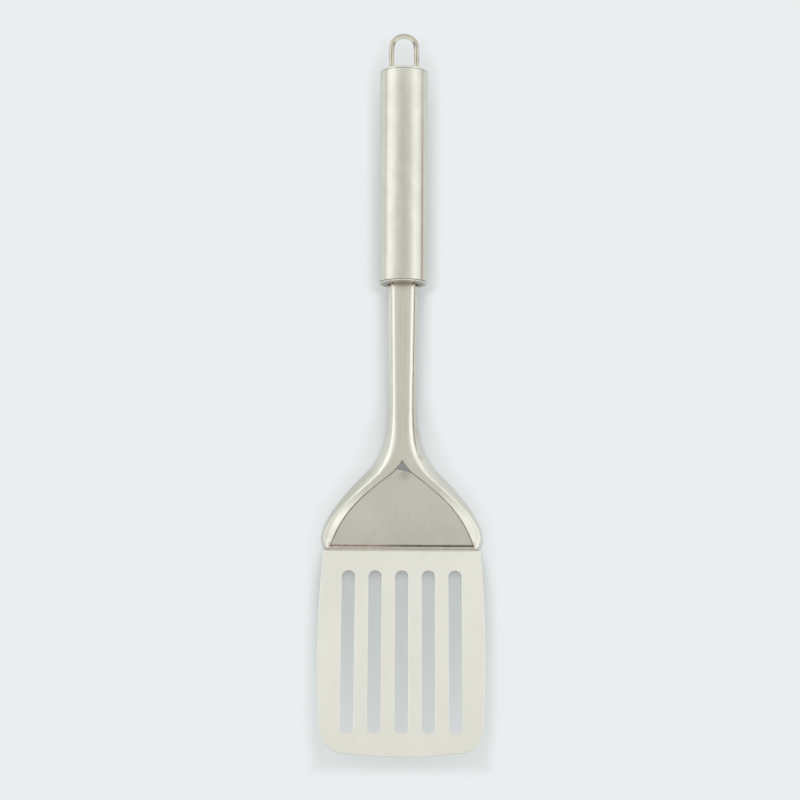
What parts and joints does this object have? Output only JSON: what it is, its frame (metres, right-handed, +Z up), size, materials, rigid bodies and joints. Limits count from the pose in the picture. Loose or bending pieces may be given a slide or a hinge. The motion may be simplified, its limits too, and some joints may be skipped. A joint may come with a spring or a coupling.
{
  "type": "slotted turner",
  "caption": "Slotted stainless-steel kitchen turner: a barrel-sided slotted blade folded up from a pressed, windowed neck, with a hollow round grip and a wire hanging loop.",
  "frame": {"origin": "on the table, under the middle of the tool's box, as the tool rests on its fold and the front rim of its grip", "axes": "+Y from the blade's front edge towards the hanging loop, +X across the blade, +Z up from the table"},
  "size_m": [0.0758, 0.3414, 0.0316],
  "materials": {
    "polished_steel": "bright polished stainless steel with a warm tint",
    "satin_steel": "satin stainless steel, brushed round the tube",
    "steel_wire": "drawn and polished stainless wire",
    "weld_metal": "dull weld metal"
  },
  "bodies": {
    "root": {"blade": "polished_steel", "neck": "polished_steel", "handle_tube": "satin_steel", "front_collar": "polished_steel", "butt_cap": "polished_steel", "hanging_loop": "steel_wire", "neck_weld_left": "weld_metal", "neck_weld_right": "weld_metal", "blade_weld_left": "weld_metal", "blade_weld_right": "weld_metal", "loop_weld_left": "weld_metal", "loop_weld_right": "weld_metal"}
  },
  "joints": []
}
